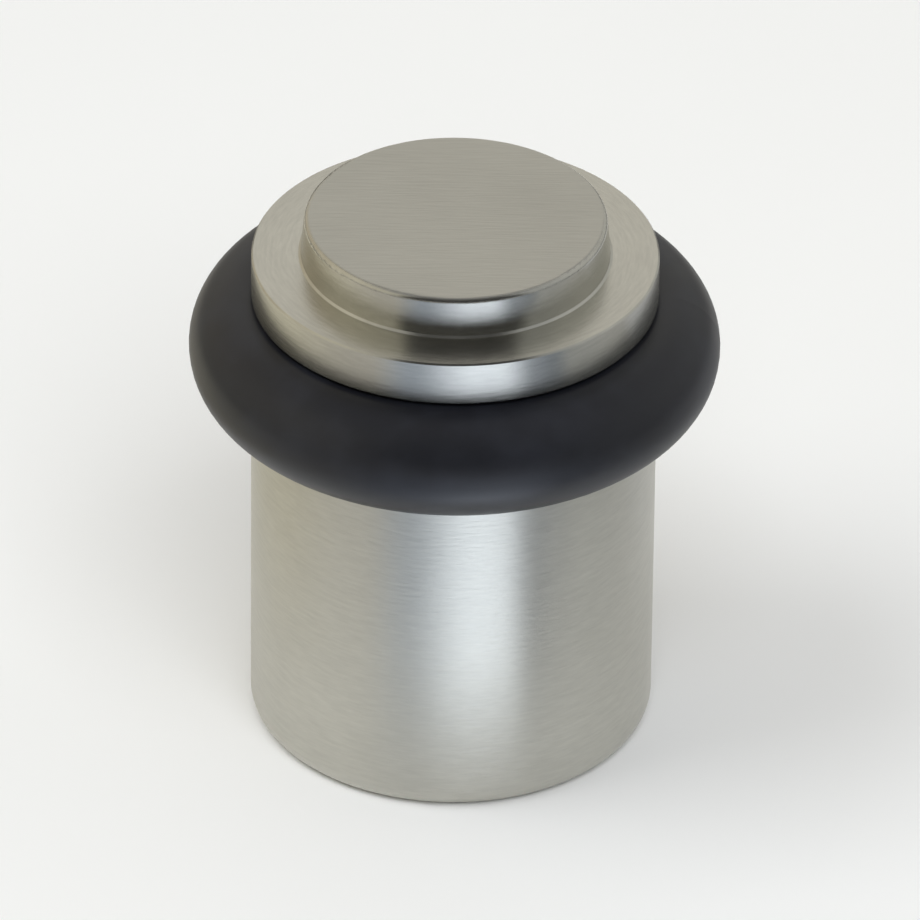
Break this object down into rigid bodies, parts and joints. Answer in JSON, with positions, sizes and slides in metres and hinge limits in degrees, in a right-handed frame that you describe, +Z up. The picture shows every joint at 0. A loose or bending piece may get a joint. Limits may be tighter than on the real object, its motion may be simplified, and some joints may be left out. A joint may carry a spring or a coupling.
{
  "type": "stepped door stop",
  "caption": "Round floor door stop: a satin metal barrel with a stepped top and a black rubber buffer ring seated in a groove under its collar, fixed by a stud into the base.",
  "frame": {"origin": "centre of the base face, where the stop stands on the floor", "axes": "+Z up along the turned axis; X and Y are free, because every piece is round about Z"},
  "size_m": [0.0392, 0.0392, 0.0426],
  "materials": {
    "satin_metal": "satin, brushed around the turned sides and straight across the top face",
    "black_rubber": "smooth moulded rubber with a soft sheen"
  },
  "bodies": {
    "root": {"stop_body": "satin_metal", "buffer_ring": "black_rubber"}
  },
  "joints": []
}
